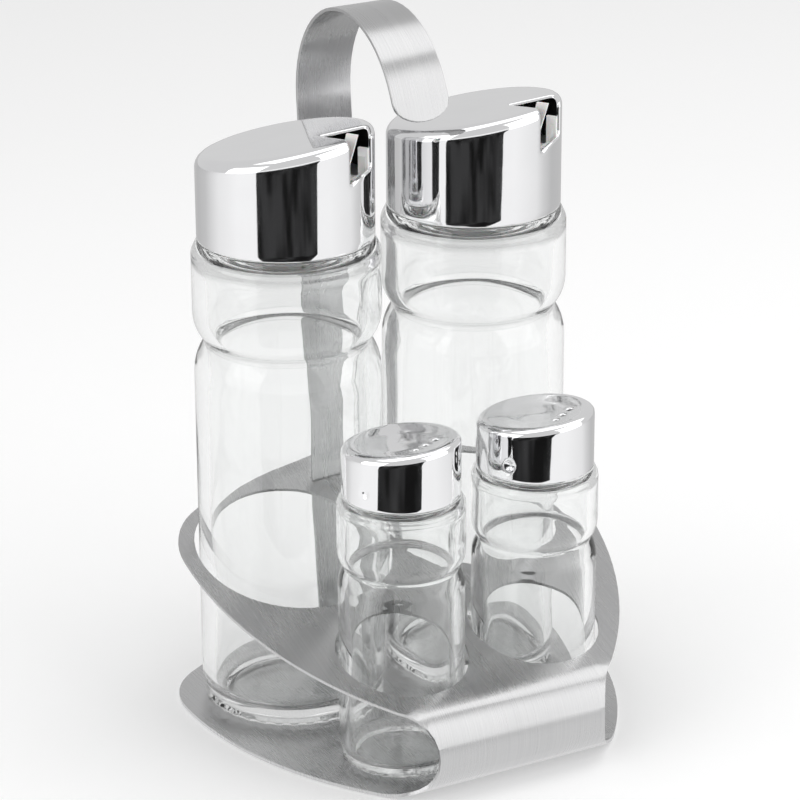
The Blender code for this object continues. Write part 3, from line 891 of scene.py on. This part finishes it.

# Painted reflection: a glowing disc just over the table that only polished parts see, its brightness set by
# angle round the set.
turns = [math.radians(5 * k) for k in range(72)]
disc = [(PAINTED_REFLECTION_RADIUS * math.cos(a), PAINTED_REFLECTION_RADIUS * math.sin(a)) for a in turns]
painted_reflection_disc, tree, shader = stage_plane("painted_pale_reflection_disc", disc, TABLE_LEVEL / 2)
seen_in_polish_only(painted_reflection_disc)
place = tree.nodes.new("ShaderNodeTexCoord")
swing = tree.nodes.new("ShaderNodeMapping")
swing.inputs["Rotation"].default_value = (0.0, 0.0, math.radians(PAINTED_REFLECTION_TURN))
round_about = tree.nodes.new("ShaderNodeTexGradient")
round_about.gradient_type = "RADIAL"
tones = tree.nodes.new("ShaderNodeValToRGB")
tree.links.new(place.outputs["Object"], swing.inputs["Vector"])
tree.links.new(swing.outputs["Vector"], round_about.inputs["Vector"])
tree.links.new(round_about.outputs["Fac"], tones.inputs["Fac"])
tree.links.new(tones.outputs["Color"], shader.inputs["Emission Color"])
shader.inputs["Base Color"].default_value = (0.0, 0.0, 0.0, 1.0)
shader.inputs["Emission Strength"].default_value = 1.0
stops = tones.color_ramp.elements
for count, (angle, tone) in enumerate(PAINTED_REFLECTION_TONES):
    spot = stops[0] if count == 0 else stops.new(angle / 360 + 0.5)
    spot.position = angle / 360 + 0.5
    spot.color = (tone, tone, tone, 1.0)
stops.remove(stops[-1])

# Painted reflection: a near-black card, faintly streaked, laid over the table and seen only in polished
# parts.
card, tree, shader = stage_plane("painted_dark_reflection_card", PAINTED_DARK_CARD_OUTLINE, TABLE_LEVEL / 4)
seen_in_polish_only(card)
streaks = noise(tree, 7.0, 2.0)
streaks = ranged(tree, streaks, 0.0, 1.0, 0.4, 0.6)
tinted(tree, shader, streaks, (0.008, 0.008, 0.008), (0.045, 0.045, 0.046), "Emission Color")
shader.inputs["Base Color"].default_value = (0.0, 0.0, 0.0, 1.0)
shader.inputs["Emission Strength"].default_value = 1.0


def soft_light(name, centre, toward, width, depth, power):
    lamp = bpy.data.lights.new(name, "AREA")
    lamp.shape = "RECTANGLE"
    lamp.size = width
    lamp.size_y = depth
    lamp.energy = power
    holder = bpy.data.objects.new(name, lamp)
    holder.location = centre
    holder.rotation_mode = "QUATERNION"
    holder.rotation_quaternion = (Vector(toward) - Vector(centre)).to_track_quat("-Z", "Y")
    holder.visible_camera = False
    bpy.context.scene.collection.objects.link(holder)


soft_light("overhead_softbox", (0.3, -0.01, 0.95), (0.3, -0.01, 0.0), 1.7, 0.54, 2.6)
soft_light("front_right_softbox", (0.62, -0.75, 0.50), (0.0, 0.0, 0.1), 1.0, 1.20, 3.6)
soft_light("left_softbox", (-1.1, -0.1, 0.45), (0.0, 0.0, 0.1), 1.0, 0.8, 3.0)

world = bpy.data.worlds.new("studio")
world.use_nodes = True
world.node_tree.nodes["Background"].inputs["Color"].default_value = (1.0, 1.0, 1.0, 1.0)
world.node_tree.nodes["Background"].inputs["Strength"].default_value = WORLD_STRENGTH
bpy.context.scene.world = world

camera_data = bpy.data.cameras.new("camera")
camera_data.sensor_width = 36.0
camera_data.lens = CAMERA_LENS
camera_data.clip_start = 0.05
camera_data.clip_end = 40.0
camera = bpy.data.objects.new("camera", camera_data)
camera.location = CAMERA_PLACE
bpy.context.scene.collection.objects.link(camera)
forward = Vector(
    (
        -math.sin(AIM_AZIMUTH) * math.cos(AIM_ELEVATION),
        math.cos(AIM_AZIMUTH) * math.cos(AIM_ELEVATION),
        math.sin(AIM_ELEVATION),
    )
)
camera.rotation_mode = "QUATERNION"
camera.rotation_quaternion = forward.to_track_quat("-Z", "Y") @ Quaternion((0.0, 0.0, 1.0), ROLL)
bpy.context.scene.camera = camera
bpy.context.scene.view_settings.view_transform = "Standard"
bpy.context.scene.cycles.max_bounces = 32
bpy.context.scene.cycles.transmission_bounces = 24
bpy.context.scene.cycles.glossy_bounces = 24
